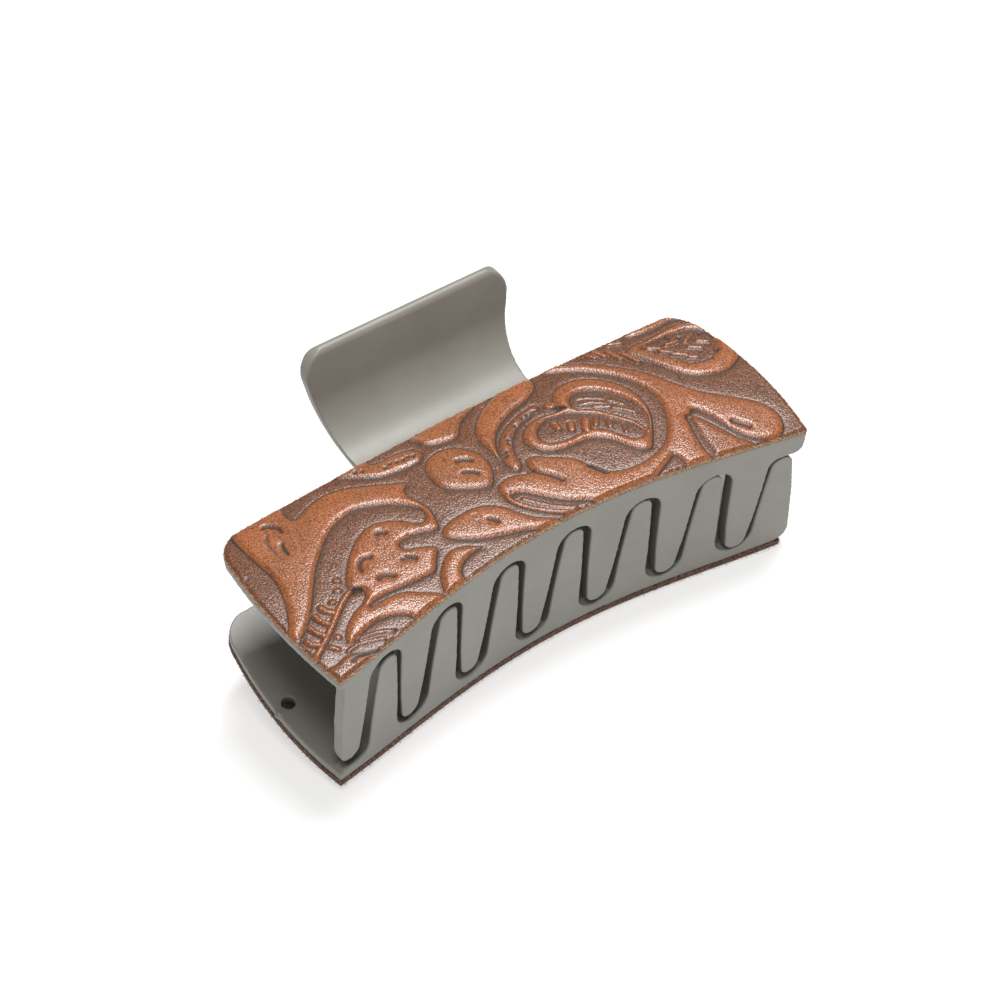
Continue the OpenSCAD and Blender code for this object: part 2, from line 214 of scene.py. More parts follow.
right_scroll = [
    (20.3, 22), (20.8, 19.7), (24, 17.7), (27.5, 14.8), (30.3, 11.5), (32.2, 8), (33.3, 4.2), (33.2, 0.6),
    (32, -2.6), (29.8, -5.8), (27.2, -8.2), (24.2, -9.4), (20.4, -9.9), (16.8, -9.4), (14.6, -8.4),
    (13, -6.6), (12, -4.6), (11, -2.3), (9.2, -0.6), (7.2, 0.9), (5.2, 2.5), (3.9, 2.8), (3, 1.9),
    (2.5, 0.2), (1.3, -0.2), (-0.4, 0.6), (-2.4, 0.9), (-4.4, 0.4), (-5.3, -0.9), (-5.4, -2.4),
    (-4.8, -3.5), (-3.4, -3.2), (-2.2, -3.6), (-0.6, -5.4), (1.5, -7.9), (4, -10.2), (7, -12.1),
    (9.6, -14.8), (20, -15.6), (20.8, -14.3), (22.8, -13.2), (25.2, -12.3), (26.6, -11.7), (27.1, -13),
    (27.8, -17), (32.2, -18.4), (32.5, -14), (33.2, -10.5), (34.2, -7), (34.9, -5.2), (36.1, -5),
    (37, -4.3), (37.9, -5.6), (39.1, -9), (40, -12.6), (41.3, -15.3), (43.3, -17.3), (45.6, -18.4),
    (47.8, -17.9), (49.5, -16), (50.1, -13.4), (49.5, -10.8), (47.6, -8), (44.8, -5), (42, -2), (39.9, 1),
    (38.3, 4.2), (36.8, 7.4), (35, 10.4), (33, 12.9), (31, 15.2), (28, 18), (24.8, 20), (24.6, 22),
]
bud_core = [
    (35.2, -6.2), (36.3, -6), (37.4, -8.2), (38.6, -11.5), (39.8, -14.6), (41.4, -17.6), (38, -19),
    (33.4, -18.2), (33.6, -13.5), (34.3, -9.5),
]
drop_leaf = [
    (36.6, 14.6), (37.6, 12.2), (39, 9.4), (40.3, 6.6), (41.8, 4.1), (43.8, 2.1), (46.3, 0.8),
    (49.2, 0.3), (52.2, 1), (54.6, 2.6), (57, 4.5), (57, 12.4), (54.4, 13.6), (53, 15.2), (50.6, 16.3),
    (47.6, 16.6), (44.6, 16.2), (41.8, 16), (39.6, 16.2), (38, 15.9),
]
drop_leaf_core = [
    (40, 14.6), (41.6, 12.9), (41.4, 11.6), (42.6, 10.4), (42.8, 9.2), (43.9, 8.2), (44.2, 6.8),
    (45.4, 5.4), (47.4, 4.9), (49.6, 4.9), (51.6, 5.7), (53, 7.6), (53.6, 9.8), (53, 12), (51.2, 13.4),
    (48.8, 14.2), (46, 14.6), (43, 14.9),
]
back_strip = [
    (39.6, 22), (40.4, 18.9), (43, 17.9), (46.5, 17.7), (50, 17.9), (52.2, 17.2), (53.8, 15.8),
    (57, 14.8), (57, 22),
]
front_lobe = [
    (-56, -16.6), (-51, -16.2), (-49, -15.7), (-47.6, -16), (-45.8, -16.9), (-44, -17.7), (-42.5, -20),
    (-56, -21.5),
]
left_patch = [(-58, 15.8), (-54.8, 14.2), (-54, 12.8), (-54.6, 11.8), (-58, 11.2)]

# Outline, and how far it stands up: 1 is the full height, 0 goes back down to the ground
shapes = [
    (leaf_scroll, 1), (small_arch, 0.9), (front_leaf, 1), (berry, 1), (back_scallop, 1),
    (beaded_strip, 0.85), (back_crescent, 1), (bead_band, 0.8), (flower_loop, 1), (flower_right, 0),
    (flower_left, 0), (right_scroll, 1), (bud_core, 0.7), (drop_leaf, 1), (drop_leaf_core, 0),
    (back_strip, 0.85), (front_lobe, 0.55), (left_patch, 0.6),
]

# Raised strokes: half width, how far they stand up, and points
strokes = [
    (0.45, 1, [
        (-54.8, -14), (-51.5, -12.1), (-48.5, -10.1), (-46, -8.2), (-43.6, -6.4), (-41.4, -5.1),
        (-40.2, -4.7),
    ]),
    (0.4, 1, [(-52.6, -9.3), (-52.4, -10.4), (-51.4, -11.3)]),
    (0.4, 1, [(-50.7, -7.3), (-50.4, -8.8), (-49.6, -10)]),
    (0.4, 1, [(-48.6, -5.6), (-48.3, -7.2), (-47.6, -8.4)]),
    (0.5, 0.8, [(-46.6, -4.8), (-46.3, -5.9), (-45.6, -6.6)]),
    (0.45, 0.7, [(-44.4, -4.8), (-44.1, -5)]),
    (0.5, 0.7, [(-42.3, -3.2), (-42, -3.4)]),
    (0.5, 0.7, [(-41, -1.2), (-40.8, -1.5)]),
    (0.4, 0.5, [(-39.5, 1.8), (-39.2, 2)]),
    (0.4, 0.6, [(-49.9, -12.8), (-49.2, -13.9)]),
    (0.5, 0.6, [(-47.9, -11.6), (-47.7, -11.8)]),
    (0.3, 0.6, [(-44.8, -14.2), (-42.6, -14.5), (-40.8, -15.1), (-39.2, -16)]),
    (0.3, 0.5, [(-48, -15.2), (-45.8, -14.9), (-43.4, -15.6), (-41.4, -16.4)]),
    (0.45, 0.8, [(-5.1, -3.2), (-4.5, -5.2), (-2.6, -7.9), (-0.3, -10.2), (2.2, -12), (3.8, -13.2)]),
    (0.3, 0.5, [(-2.9, -4.9), (-0.9, -7.5), (1.2, -9.8), (3.8, -11.8)]),
    (0.6, 0.9, [(13.4, 7), (13.2, 5.7)]),
    (0.55, 0.9, [(15.9, 5.4), (15.1, 4)]),
    (0.7, 0.9, [(18.8, 4.6), (17.4, 2.6)]),
    (0.5, 0.6, [(20.6, 3.9), (19.6, 2.6)]),
    (0.45, 0.5, [(22.3, 2.1), (21.5, 0.7)]),
    (0.4, 0.45, [(23.8, -0.6), (23.1, -2.1)]),
    (0.35, 0.6, [(25, 4.3), (26.3, 3), (27.6, 1.1)]),
    (0.25, 0.22, [(21.2, 10.4), (23.2, 9.4), (25, 7.6)]),
    (0.25, 0.22, [(20.8, 8.8), (23, 7.9), (25, 6)]),
    (0.25, 0.22, [(22.6, 6.8), (24.6, 5.4), (26, 3.9)]),
    (0.25, 0.22, [(25.9, 6.6), (27.3, 4.2)]),
    (0.95, 0.9, [(15.8, 11.7), (15.9, 11.6)]),
    (0.5, 0.8, [(12.3, 12.8), (13, 12.4)]),
    (0.5, 0.8, [(30.2, 19.9), (31.2, 17.7)]),
    (0.5, 0.9, [(31.9, 19.4), (33, 16.9)]),
    (0.5, 0.9, [(34.3, 17.5), (34.9, 14.5)]),
    (0.45, 0.8, [(35.8, 19.3), (37.8, 18.3)]),
    (0.5, 0.9, [(36.3, 15.2), (37.2, 12)]),
    (0.5, 0.9, [(38.8, 13.6), (39.6, 11)]),
    (0.45, 0.8, [(41.2, 13.9), (42.8, 12.5)]),
    (0.45, 0.8, [(42.6, 11.7), (44.2, 10.2)]),
    (0.45, 0.8, [(44, 9.8), (45.8, 8.2)]),
    (0.45, 0.7, [(46, 7.4), (47.2, 6.5)]),
    (0.4, 0.7, [(44.8, 12.7), (47, 12.3)]),
    (0.4, 0.7, [(48.4, 11.4), (50.4, 12.3)]),
    (0.4, 0.7, [(47.8, 9.7), (49.6, 8.2)]),
    (0.4, 0.6, [(50.4, 10.2), (52, 9)]),
]

# Cuts of the swivel knife and the stamps: half width, depth in millimetres and points
cuts = [
    (0.55, 0.6, [(-44.6, 16.9), (-43.7, 17.3), (-42.7, 16.4), (-42, 15.2), (-42.3, 13.9)]),
    (0.35, 0.2, [(-44.4, 15.4), (-45.5, 13.9), (-46, 12), (-45.8, 10.1)]),
    (0.35, 0.35, [(-43.6, 12), (-44.2, 10.4), (-44.3, 8.6)]),
    (0.6, 0.6, [(-36.4, -2.6), (-36, -1.2), (-35.2, -0.3), (-34, -0.1), (-32.8, -0.7)]),
    (0.6, 0.6, [(-29.5, 2.9), (-28.9, 3.5), (-28.2, 3.1), (-27.6, 2.3)]),
    (0.4, 0.5, [(-29.2, -4), (-28.5, -4.5)]),
    (0.5, 0.5, [(-28.2, -3.9), (-27.4, -4.6), (-26.6, -5.7)]),
    (0.65, 0.65, [(-35.3, -5.7), (-34.1, -5.2), (-32.9, -5.8), (-32, -6.8)]),
    (0.4, 0.5, [(-40.3, -4.6), (-39.2, -5), (-38.3, -5.3)]),
    (0.4, 0.35, [(-12.9, -3), (-12.6, -3.3)]),
    (0.3, 0.2, [(-13, -4.3), (-12.7, -5.8)]),
    (0.5, 0.55, [(-11.2, -5.2), (-10.4, -6), (-9.8, -7.3)]),
    (0.6, 0.65, [(-7.6, 9.4), (-6.9, 9.6), (-5.9, 9.3), (-5.1, 8.6), (-4.7, 7.7)]),
    (0.4, 0.5, [(-8.3, 6.6), (-7.4, 6.4), (-6.4, 5.6), (-5.6, 4.5)]),
    (0.4, 0.4, [(-3.8, -2.2), (-3.5, -2.5)]),
    (0.7, 0.6, [(2.7, 0.2), (3.2, -1.3), (4.5, -3.1), (5.4, -4.7), (5.9, -5.9)]),
    (0.6, 0.65, [(12, -4.8), (12.6, -6.4), (13.4, -7.9), (14, -8.7)]),
    (0.8, 0.75, [(41.2, -10.4), (42, -11.9), (42.8, -13), (43.3, -14.2)]),
    (0.45, 0.4, [(34.8, -5.1), (35, -5.5)]),
    (0.45, 0.4, [(36.9, -4.5), (37.2, -4.8)]),
    (0.35, 0.4, [(16.5, 10.3), (17.2, 10.1), (17.9, 9.2)]),
    (0.35, 0.3, [(-48.9, -17.2), (-46.8, -16.9), (-44.8, -17.6), (-42.6, -18)]),
    (0.35, 0.35, [(-39, -15.6), (-38.3, -16.3)]),
    (0.4, 0.35, [(-53.2, 8.9), (-52.9, 8.8)]),
]

# Small round marks of the beading punch: place
beads = [
    (-23.2, 18.8), (-22, 18.2), (-18.2, 16.3), (-17, 16.7), (-15.7, 16.3), (-14.5, 16.1), (-13.3, 16.2),
    (-12.4, 15.8), (1, 5.4), (1.5, 6.3), (3.4, 7.9), (3.9, 8.7), (7.2, 11.1), (9.6, 12.1), (10.8, 12.2),
    (46.2, 14.1), (48.2, 13), (52.1, 11.8), (54, 9.7), (51.8, 5.9), (49.2, 4.5),
]
bead_radius = 0.42
bead_depth = 0.3

# Shape of the tooling in millimetres: how high it stands, the lips and dark feet of its edges, and its cuts
relief_height = 0.46
pillow = 0.2
pillow_width = 1.6
hollow_width = 1.2
ground_press = 0.12
press_width = 0.6
lip_width = 0.95
tone_width = 0.4
foot_width = 0.19
foot_shift = 0.04
foot_reach = 0.3
stroke_slope = 0.6
stroke_margin = 0.15
stroke_swell = 0.6
ring_share = 0.7
ring_gap = 0.3
ring_width = 0.2
cut_share = 0.85
cut_lip_share = 1.35
cut_end = 0.7
cut_reach = 2
ramp_width = 0.9
mark_width = 0.32
shade_share = 0.35
shade_width = 0.7
full_mark_depth = 0.4
chart_reach = 14.0
bead_reach = 1.5


def smooth_line(points, closed, steps=6):
    """Points of a smooth curve through the charted ones."""
    p = np.array(points, float)
    n = len(p)
    spans = range(n if closed else n - 1)
    made = []
    for i in spans:
        if closed:
            a, b, c, d = p[(i - 1) % n], p[i], p[(i + 1) % n], p[(i + 2) % n]
        else:
            a, b, c, d = p[max(i - 1, 0)], p[i], p[i + 1], p[min(i + 2, n - 1)]
        for t in np.arange(steps) / steps:
            square = (2 * a - 5 * b + 4 * c - d) * t * t
            cube = (3 * b - a - 3 * c + d) * t ** 3
            made.append(0.5 * (2 * b + (c - a) * t + square + cube))
    if not closed:
        made.append(p[-1])
    return np.array(made)


def line_distance(points, line, closed):
    """Distance of each point to the line."""
    ends = np.roll(line, -1, 0) if closed else line[1:]
    starts = line if closed else line[:-1]
    best = np.full(len(points), 1e9)
    for a, b in zip(starts, ends):
        run = b - a
        t = np.clip((points - a) @ run / max(run @ run, 1e-9), 0, 1)
        away = points - a - t[:, None] * run
        best = np.minimum(best, (away ** 2).sum(1))
    return np.sqrt(best)


def beside_line(points, line):
    """Distance to the line, the share to its left (1 left, 0 right) and the distance to its nearer end."""
    best = np.full(len(points), 1e9)
    left, along = np.zeros((2, len(points)))
    done = 0
    for a, b in zip(line[:-1], line[1:]):
        run = b - a
        size = max(math.hypot(*run), 1e-6)
        t = np.clip((points - a) @ run / size ** 2, 0, 1)
        away = points - a - t[:, None] * run
        gap = np.sqrt((away ** 2).sum(1))
        closer = gap < best
        best = np.where(closer, gap, best)
        left = np.where(closer, (run[0] * away[:, 1] - run[1] * away[:, 0]) / size, left)
        along = np.where(closer, done + t * size, along)
        done += size
    left = 0.5 + 0.5 * np.clip(left / np.maximum(best, 0.05), -1, 1)
    return best, left, np.minimum(along, done - along)


def lip(away, width):
    """An edge that rises evenly from 0 at its foot and rounds over to 1 at the flat."""
    t = np.clip(away / width, 0, 1.3)
    return t - np.clip(t - 0.7, 0, None) ** 2 / 1.2


def is_inside(points, outline):
    x, y = points[:, 0], points[:, 1]
    inside = np.zeros(len(points), bool)
    for (x0, y0), (x1, y1) in zip(outline, np.roll(outline, -1, 0)):
        if y0 == y1:
            continue
        crosses = ((y0 > y) != (y1 > y)) & (x < (x1 - x0) * (y - y0) / (y1 - y0) + x0)
        inside ^= crosses
    return inside


def near(points, line, reach):
    low, high = line.min(0) - reach, line.max(0) + reach
    return np.nonzero(((points > low) & (points < high)).all(1))[0]


def soft_step(t):
    t = np.clip(t, 0, 1)
    return t * t * (3 - 2 * t)


def foot_line(away):
    """1 along the hard line at the foot of an edge, less to both sides of it."""
    return np.exp(-np.abs(away / foot_width) ** 1.7)


def tooling(points, level, share_of_depth):
    """Height in millimetres, raised share, cut share with painted shade beside the cuts, and edge foot at
    each point of the plate.
    """
    raised, pressed, swell, tone, foot, cut, depth = np.zeros((7, len(points)))
    for outline, share in shapes:
        line = smooth_line(outline, True)
        at = near(points, line, chart_reach)
        away = line_distance(points[at], line, True)
        away = np.where(is_inside(points[at], line), away, -away)
        tint = soft_step(away / tone_width + 0.3)
        beside = np.exp(-np.abs(away) / press_width)
        if share > 0:
            raised[at] = np.maximum(raised[at], share * lip(away, lip_width))
            tone[at] = np.maximum(tone[at], share * tint)
            swell[at] = np.maximum(swell[at], share * (1 - np.exp(-np.clip(away, 0, None) / pillow_width)))
            foot[at] = np.maximum(foot[at], foot_line(away + foot_shift))
            pressed[at] = np.maximum(pressed[at], beside * (away < 0))
        else:
            raised[at] = np.minimum(raised[at], lip(-away, lip_width))
            tone[at] = np.minimum(tone[at], 1 - tint)
            swell[at] = np.minimum(swell[at], soft_step(-away / hollow_width))
            foot[at] = np.maximum(foot[at] * (away < foot_reach), foot_line(away - foot_shift))
            pressed[at] = np.maximum(pressed[at] * (away < foot_reach), beside * (away > 0))
    for half_width, share, points_of in strokes:
        line = smooth_line(points_of, False, 4)
        at = near(points, line, chart_reach)
        away = line_distance(points[at], line, False)
        rise = share * soft_step((half_width - away) / stroke_slope + 0.5)
        raised[at] = np.maximum(raised[at], rise)
        tint = soft_step((half_width + stroke_margin - away) / tone_width + 0.5)
        tone[at] = np.maximum(tone[at], share * tint)
        past = away - half_width
        ring = ring_share * share * np.exp(-((past - ring_gap) / ring_width) ** 2)
        foot[at] = np.maximum(foot[at] * soft_step(past / ring_gap), ring)
        swell[at] = np.maximum(swell[at], stroke_swell * rise)
    for half_width, deep, points_of in cuts:
        line = smooth_line(points_of, False, 4)
        at = near(points, line, chart_reach)
        away, left, to_end = beside_line(points[at], line)
        spread = np.exp(-(np.clip(away - 0.1, 0, None) / cut_reach) ** 2)
        fade = soft_step(to_end / cut_end + 0.35) * spread
        share = left * (1 - lip(away, cut_lip_share * half_width)) + (1 - left) * np.exp(-away / ramp_width)
        depth[at] = np.maximum(depth[at], cut_share * deep * share * fade)
        # Painted shade on the ramp side of the cut, opposite its lip
        shade = shade_share * (1 - left) * np.exp(-away / shade_width)
        mark = np.exp(-(away / mark_width) ** 2) + shade
        cut[at] = np.maximum(cut[at], np.clip(mark * fade * min(1, deep / full_mark_depth), 0, 1))
    for bead in beads:
        line = np.array([bead, bead], float)
        at = near(points, line, bead_reach)
        away = np.hypot(*(points[at] - line[0]).T)
        share = np.exp(-(away / bead_radius) ** 2)
        depth[at] = np.maximum(depth[at], bead_depth * share)
        cut[at] = np.maximum(cut[at], share)
    height = relief_height * (raised - level) + pillow * swell - depth
    height = height - ground_press * np.clip(pressed + foot, 0, 1) * (1 - raised)
    height = share_of_depth * height
    tone = tone * (0.72 + 0.28 * np.clip(swell, 0, 1))
    return height, tone, cut + 0.2 * pressed, foot


# Leather panels

panel_columns = 501
panel_rows = 173
wall_rows = 4
outline_step = 0.5
length_points = 160
side_points = 60

# Grid of points under a panel in millimetres: its spacing and its ends
under_spacing = 3.0
under_reach = 54.0
under_front = -19.5
under_back = 20.6

# Unevenness of the leather in millimetres: the waves and ripples of its face, how far in from the rim
# the tooling fades and the rim rolls over, and the swelling, tears and grain of its cut side
wave_height = 0.05
wave_size = 5
ripple_height = 0.02
ripple_size = 1.1
fade_width = 0.8
roll_width = 0.7
wall_swell = 0.09
tear_depth = 0.16
tear_size = 0.55
grain_depth = 0.04


def leather_foot(points):
    """Height of the leather's underside over points of the plate."""
    return skin_height(*points.T) + glue_gap


def wavy(points, size, seed):
    """Smooth noise between about -1 and 1 at points in millimetres."""
    return np.array([noise.noise(Vector((p[0] / size, p[1] / size, seed))) for p in points])


def end_reach(share):
    """Half length of the panel at a share of the way from front to back, with the round back corners."""
    y = half_depth * (2 * share - 1)
    centre_y = back_edge(half_length - corner_radius) - corner_radius
    centre_x = end_edge(centre_y) - corner_radius
    turned = centre_x + np.sqrt(np.clip(corner_radius ** 2 - (y - centre_y) ** 2, 0, None))
    return np.where(y > centre_y, turned, end_edge(y))


def out_of(line):
    """Direction out of a closed outline at each of its points."""
    tangent = np.roll(line, -1, 0) - np.roll(line, 1, 0)
    outward = np.stack([tangent[:, 1], -tangent[:, 0]], -1)
    return outward / np.linalg.norm(outward, axis=1)[:, None]


def panel_grid(short):
    """The top's points on the plate, row by row from the front, and how far each is from the rim."""
    along = np.linspace(-1, 1, panel_columns)
    share = np.linspace(0, 1, panel_rows)
    reach = end_reach(share)
    x = along[None, :] * reach[:, None]
    x = np.where(x < 0, x * (1 - short / half_length), x)
    y = front_edge(x) + (back_edge(x) - front_edge(x)) * share[:, None]
    end_room = (1 - np.abs(along))[None, :] * reach[:, None]
    rim = np.minimum(end_room, np.minimum(y - front_edge(x), back_edge(x) - y))
    return np.stack([x.ravel(), y.ravel()], -1), rim.ravel()


def panel_face(flat, rim, flip, level, share_of_depth, rim_depth, roll_over, seed):
    """How far the tooled face stands over the plain leather, with its raised and cut shares."""
    chart = flat * (-1, 1) if flip else flat
    height, raised, cut, foot = tooling(chart, level, share_of_depth)
    grid = height.reshape(panel_rows, panel_columns)
    # The dark line is strongest at the foot of edges that face the front
    facing = soft_step((np.roll(grid, -3, 0) - np.roll(grid, 3, 0)) / 0.4 + 0.35).ravel()
    cut = np.clip(cut + foot * (0.25 + 0.75 * facing), 0, 1)
    waves = wave_height * wavy(flat, wave_size, seed)
    height = height + waves + ripple_height * wavy(flat, ripple_size, seed + 3)
    keep = soft_step(rim / fade_width)
    fray = wavy(flat, roll_width, seed + 7)
    rolled = roll_over * (1 - soft_step(rim / roll_width)) * (1 + 0.5 * fray)
    return height * (rim_depth + (1 - rim_depth) * keep) - rolled, raised, cut


def panel_underside(around, last, start):
    """The points inside the outline that the underside needs, and the faces that close it."""
    columns_at = np.arange(-under_reach, under_reach + 0.1, under_spacing)
    rows_at = np.arange(under_front, under_back, under_spacing)
    across, depth = np.meshgrid(columns_at, rows_at)
    inner = np.stack([across.ravel(), depth.ravel()], -1)
    inner = inner[is_inside(inner, around) & (line_distance(inner, around, True) > 1)]
    count = len(around)
    flat_under = [Vector(p) for p in np.concatenate([around, inner])]
    found = delaunay_2d_cdt(flat_under, [], [list(range(count))], 1, 1e-6)
    under = np.array([tuple(v) for v in found[0]])
    back = {}
    for k, source in enumerate(found[3]):
        if source and source[0] < count:
            back[k] = last[source[0]]
    extra = [k for k in range(len(under)) if k not in back]
    for k in extra:
        back[k] = start
        start += 1
    return under[extra], [[back[k] for k in reversed(tri)] for tri in found[2]]


def leather_panel(name, place, thickness, flip, level, share_of_depth, rim_depth, roll_over, short, seed):
    """A tooled panel: a fine top that carries the relief, a rough cut wall and a plain underside."""
    flat, rim = panel_grid(short)
    height, raised, cut = panel_face(flat, rim, flip, level, share_of_depth, rim_depth, roll_over, seed)
    top = leather_foot(flat) + thickness + height

    index = np.arange(len(flat)).reshape(panel_rows, panel_columns)
    quads = np.stack([index[:-1, :-1], index[:-1, 1:], index[1:, 1:], index[1:, :-1]], -1)
    loop = np.concatenate([index[0, :-1], index[:-1, -1], index[-1, :0:-1], index[:0:-1, 0]])
    count = len(loop)
    around = flat[loop]
    outward = out_of(around)
    low = leather_foot(around)
    high = top[loop]
    places = [place(*flat.T, top)]
    faces = [list(q) for q in quads.reshape(-1, 4)]
    start = len(flat)
    last = list(loop)
    fine = wavy(around * (3, 3), 1.0, seed + 11)
    for row in range(1, wall_rows + 1):
        t = row / wall_rows
        torn = wavy(around + (0, 40 * t), tear_size, seed + 13)
        push = wall_swell * np.sin(math.pi * t) + tear_depth * torn + grain_depth * fine
        push = push * (1 if row < wall_rows else 0)
        side = around + outward * push[:, None]
        places.append(place(*side.T, high + (low - high) * t))
        ring = list(range(start, start + count))
        for k in range(count):
            n = (k + 1) % count
            faces.append([last[n], last[k], ring[k], ring[n]])
        last = ring
        start += count

    spots, closing = panel_underside(around, last, start)
    places.append(place(*spots.T, leather_foot(spots)))
    mesh = bpy.data.meshes.new(name)
    mesh.from_pydata([tuple(p) for p in np.concatenate(places)], [], faces + closing)
    made = add_object(name, mesh)
    wall = np.ones(count * wall_rows)
    inside = np.ones(len(spots))
    add_values(mesh, "raised", np.concatenate([raised, 0 * wall, 0 * inside]))
    add_values(mesh, "cut", np.concatenate([cut, 0 * wall, inside]))
    add_values(mesh, "cut_side", np.concatenate([0 * raised, wall, 0 * inside]))
    face_outward(mesh)
    mesh.shade_smooth()
    return made


def panel_outline(short):
    """The panel's outline, evenly spaced, with the direction out of it at each point."""
    share = np.linspace(0, 1, side_points)
    reach = end_reach(share)
    front_x = np.linspace(-1, 1, length_points) * half_length
    back_x = np.linspace(1, -1, length_points) * reach[-1]
    sides = front_edge(reach) + (back_edge(reach) - front_edge(reach)) * share
    x = np.concatenate([front_x, reach, back_x, -reach[::-1]])
    y = np.concatenate([front_edge(front_x), sides, back_edge(back_x), sides[::-1]])
    line = np.stack([np.where(x < 0, x * (1 - short / half_length), x), y], -1)
    line = line[np.linalg.norm(line - np.roll(line, 1, 0), axis=1) > 1e-6]
    along = np.append(0, np.cumsum(np.linalg.norm(np.roll(line, -1, 0) - line, axis=1)))
    at = np.arange(0, along[-1], outline_step)
    line = np.vstack([line, line[:1]])
    line = np.stack([np.interp(at, along, line[:, k]) for k in (0, 1)], -1)
    return line, out_of(line)


def edge_fibres(name, place, levels, short, recipe, **values):
    """Loose fibres on a panel's cut side, in rows at the given heights above the plate."""
    line, outward = panel_outline(short)
    rows = []
    leans = []
    for level in levels:
        base = leather_foot(line) + level
        rows.append(place(*line.T, base))
        tip = place(*(line + outward).T, base)
        leans.append((tip - rows[-1]) / MM)
    count = len(line)
    mesh = bpy.data.meshes.new(name)
    edges = []
    for start in range(0, len(levels) * count, count):
        edges += [(start + k, start + (k + 1) % count) for k in range(count)]
    mesh.from_pydata([tuple(p) for p in np.concatenate(rows)], edges, [])
    outward = mesh.attributes.new("outward", "FLOAT_VECTOR", "POINT")
    outward.data.foreach_set("vector", np.concatenate(leans).ravel())
    return recipe.grow(add_object(name, mesh), **values)


def face_outward(mesh):
    """Turns the faces of a closed shell so that they point out."""
    work = bmesh.new()
    work.from_mesh(mesh)
    bmesh.ops.recalc_face_normals(work, faces=work.faces)
    work.to_mesh(mesh)
    work.free()
    mesh.update()


# Moulded jaws

mould_voxel = 0.2
mould_rounds = 4
mould_softness = 0.6
jaw_triangles = 190000
burr_y = -2.0
burr_height = 0.55
burr_radius = 0.7
burr_sink = 1.2

# Where the narrow sides of the teeth lie, in millimetres: in from the front edge, up and along
tooth_depth = 4.2
tooth_height = 12.6
tooth_reach = 50.5


def plain_mesh(made):
    """The object with its modifiers turned into its own mesh."""
    seen = made.evaluated_get(bpy.context.evaluated_depsgraph_get())
    fresh = bpy.data.meshes.new_from_object(seen)
    made.modifiers.clear()
    made.data = fresh
    return made


def soften(mesh, rounds):
    """Rounds the edges of an even mesh by moving each point towards its neighbours."""
    co = read_vectors(mesh.vertices, "co")
    ends = np.zeros(len(mesh.edges) * 2, int)
    mesh.edges.foreach_get("vertices", ends)
    a, b = ends.reshape(-1, 2).T
    degree = np.bincount(a, minlength=len(co)) + np.bincount(b, minlength=len(co))
    for _ in range(rounds):
        total = np.zeros(co.shape)
        for k in range(3):
            total[:, k] = np.bincount(a, co[b, k], len(co)) + np.bincount(b, co[a, k], len(co))
        co = co + mould_softness * (total / degree[:, None] - co)
    move_points(mesh, co)


def raise_burr(mesh):
    """A lump of set glue on the rim of the lower plate, by the small hole."""
    co = read_vectors(mesh.vertices, "co")
    normal = read_vectors(mesh.vertex_normals, "vector")
    x, y = end_edge(burr_y), burr_y
    away = np.linalg.norm(co - lower_side(x, y, skin_height(x, y) - burr_sink), axis=1) / MM
    move_points(mesh, co + normal * (burr_height * MM * np.exp(-(away / burr_radius) ** 2))[:, None])


def moulded_jaw(name, node):
    """The jaw as it comes out of the mould, with every edge a little round."""
    mesh = frame["nodes"][node].data.copy()
    mesh.materials.clear()
    made = add_object(name, mesh)
    work = bmesh.new()
    work.from_mesh(mesh)
    bmesh.ops.remove_doubles(work, verts=work.verts, dist=0.002 * MM)
    work.to_mesh(mesh)
    work.free()
    remesh = made.modifiers.new("even", "REMESH")
    remesh.mode = "VOXEL"
    remesh.voxel_size = mould_voxel * MM
    plain_mesh(made)
    soften(made.data, mould_rounds)
    if node == "lower_jaw":
        raise_burr(made.data)
    triangles = 2 * len(made.data.polygons)
    if triangles > jaw_triangles:
        thin = made.modifiers.new("thin", "DECIMATE")
        thin.ratio = jaw_triangles / triangles
        plain_mesh(made)
    # The narrow side faces of the teeth are marked for painted shade
    mark_seam_shade(made.data, node == "upper_jaw")
    made.data.shade_smooth()
    return made


def mark_seam_shade(mesh, is_upper):
    """Marks the narrow side faces of the teeth, which the plastic darkens as painted shade in the gaps
    between the teeth.
    """
    co = read_vectors(mesh.vertices, "co") / MM - (hinge_x, hinge_y, hinge_z)
    normal = read_vectors(mesh.vertex_normals, "vector")
    c, s = math.cos(lean), math.sin(lean)
    y = co[:, 1] * c + co[:, 2] * s + hinge_depth
    x = co[:, 0] if is_upper else lower_shift - co[:, 0]
    z = np.abs(co[:, 2] * c - co[:, 1] * s)
    inward = y - front_edge(x)
    side = 1 - np.abs(normal[:, 1] * c + normal[:, 2] * s)
    seam_shade = soft_step((inward - 0.15) / 0.5) * soft_step(tooth_depth - inward)
    seam_shade = seam_shade * soft_step((side - 0.25) / 0.4) * (z < tooth_height) * (np.abs(x) < tooth_reach)
    add_values(mesh, "seam_shade", seam_shade)


# Steel

wire_radius = 0.6
coil_radius = 3.6
coil_pitch = 1.6
coil_turns = 4
leg_end_y = 27.5
leg_end_z = 10.7
wire_sides = 12
coil_steps = 44
leg_points = 10
leg_share = 0.97
pin_radius = 1.1
pin_half = 5.8 + 2.4 + 0.2 + 2.4 + 0.4
pin_sides = 28


def line_object(name, path):
    """A bare line of points joined in order."""
    mesh = bpy.data.meshes.new(name)
    mesh.from_pydata([tuple(p) for p in path], [(k, k + 1) for k in range(len(path) - 1)], [])
    return add_object(name, mesh)


def add_node(tree, kind, settings, values):
    """Adds a node, sets it up, and fills its inputs with values or links. Returns its outputs."""
    made = tree.nodes.new(kind)
    for label, value in settings.items():
        setattr(made, label, value)
    for label, value in values.items():
        if isinstance(value, bpy.types.NodeSocket):
            tree.links.new(value, made.inputs[label])
        else:
            made.inputs[label].default_value = value
    return made.outputs


